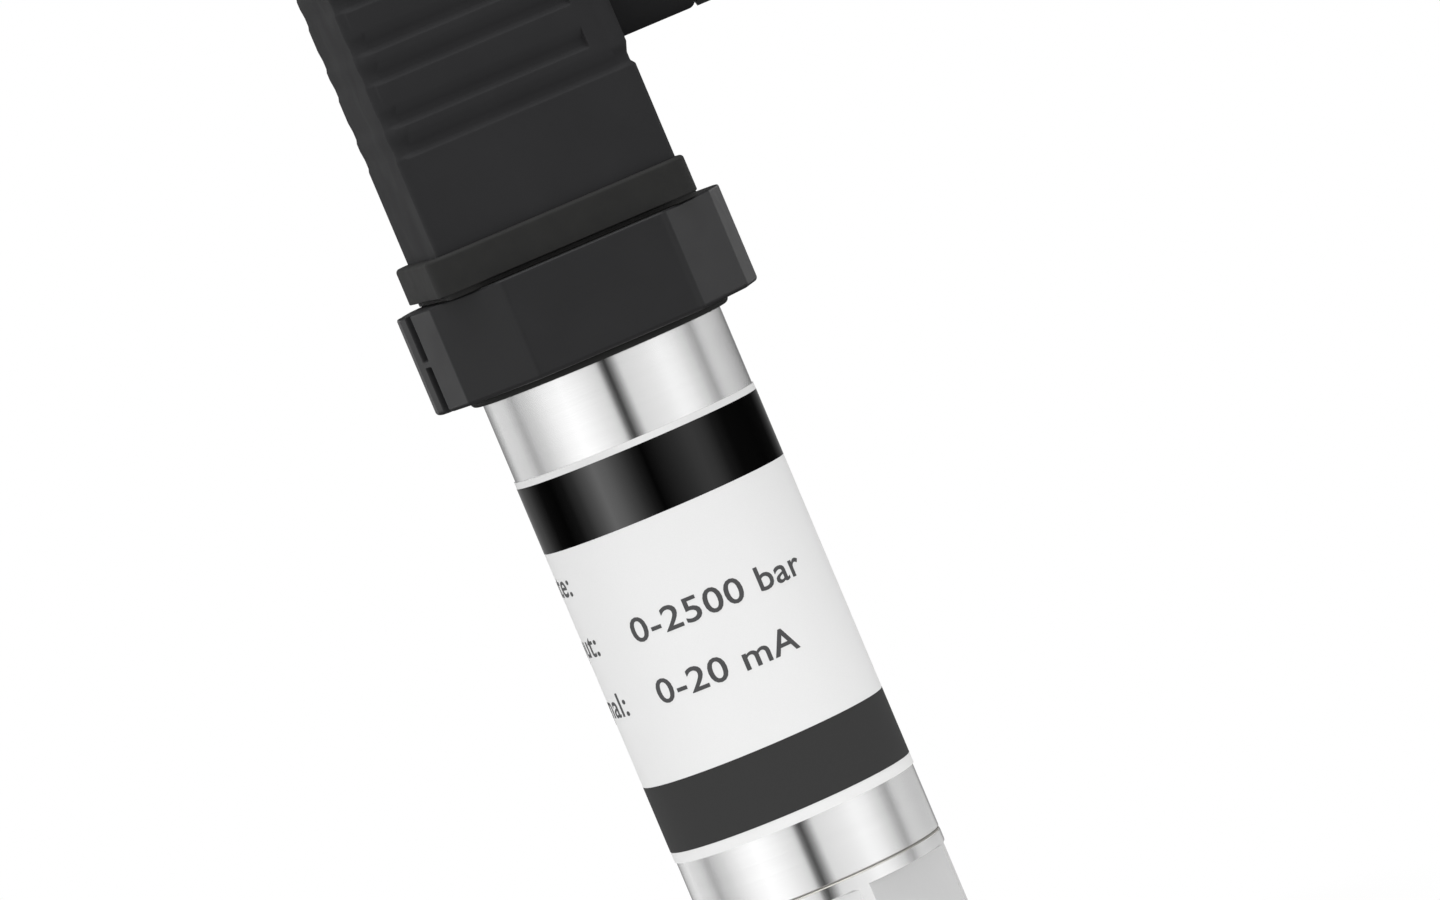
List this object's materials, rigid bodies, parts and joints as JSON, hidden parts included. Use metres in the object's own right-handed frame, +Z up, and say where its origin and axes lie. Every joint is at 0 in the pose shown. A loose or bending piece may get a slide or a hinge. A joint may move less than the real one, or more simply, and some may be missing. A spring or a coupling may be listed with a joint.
{
  "type": "pressure sensor",
  "caption": "Stainless high-pressure transmitter: round labelled body on a coned threaded port with spanner flats, a faceted black connector base, and a ribbed plug with a side cable gland.",
  "frame": {"origin": "centre of the pressure port's mouth, on the bottom face of the process fitting", "axes": "+Z up along the body towards the plug, +X towards the cable outlet, -Y the front"},
  "size_m": [0.0503, 0.0336, 0.1366],
  "materials": {
    "stainless": "satin",
    "plated_steel": "satin",
    "black_nylon": "satin",
    "carrier_nylon": "satin",
    "black_rubber": "matte",
    "label_film": "satin",
    "tinned_brass": "satin",
    "brass": "satin",
    "board_laminate": "satin",
    "chip_resin": "matte",
    "capacitor_can": "satin",
    "tinned_copper": "satin",
    "sapphire": "polished",
    "sleeve_film": "gloss"
  },
  "bodies": {
    "sensor_body": {"process_fitting": "stainless", "body_tube": "stainless", "label": "label_film", "sensor_cell": "stainless", "gauge_disc": "sapphire", "gauge_leads": "tinned_copper", "gauge_board": "board_laminate", "signal_leads": "tinned_copper", "amplifier_board": "board_laminate", "amplifier_chip": "chip_resin", "regulator_chip": "chip_resin", "filter_capacitors": "capacitor_can", "insulating_sleeve": "sleeve_film", "connector_base": "black_nylon", "collar_seal": "black_rubber", "contact_blades": "tinned_brass", "earth_blade": "tinned_brass", "thread_insert": "brass", "profile_gasket": "black_rubber"},
    "plug": {"plug_housing": "black_nylon", "terminal_carrier": "carrier_nylon", "socket_contacts": "tinned_brass", "terminal_screws": "plated_steel", "gland_seal": "black_rubber", "gland_washer": "plated_steel", "screw_seal": "black_rubber"},
    "gland": {"gland_nut": "black_nylon"},
    "screw": {"fixing_screw": "plated_steel"}
  },
  "joints": [
    {"name": "plug_lift", "type": "slide", "parent": "sensor_body", "child": "plug", "axis": [0, 0, 1], "range_m": [0, 0.03]},
    {"name": "fixing_screw_turn", "type": "hinge", "parent": "plug", "child": "screw", "pos_m": [0, 0, 0.1342], "axis": [0, 0, 1], "continuous": true},
    {"name": "gland_nut_turn", "type": "hinge", "parent": "plug", "child": "gland", "pos_m": [0.0236, 0, 0.12533], "axis": [1, 0, 0], "continuous": true}
  ]
}
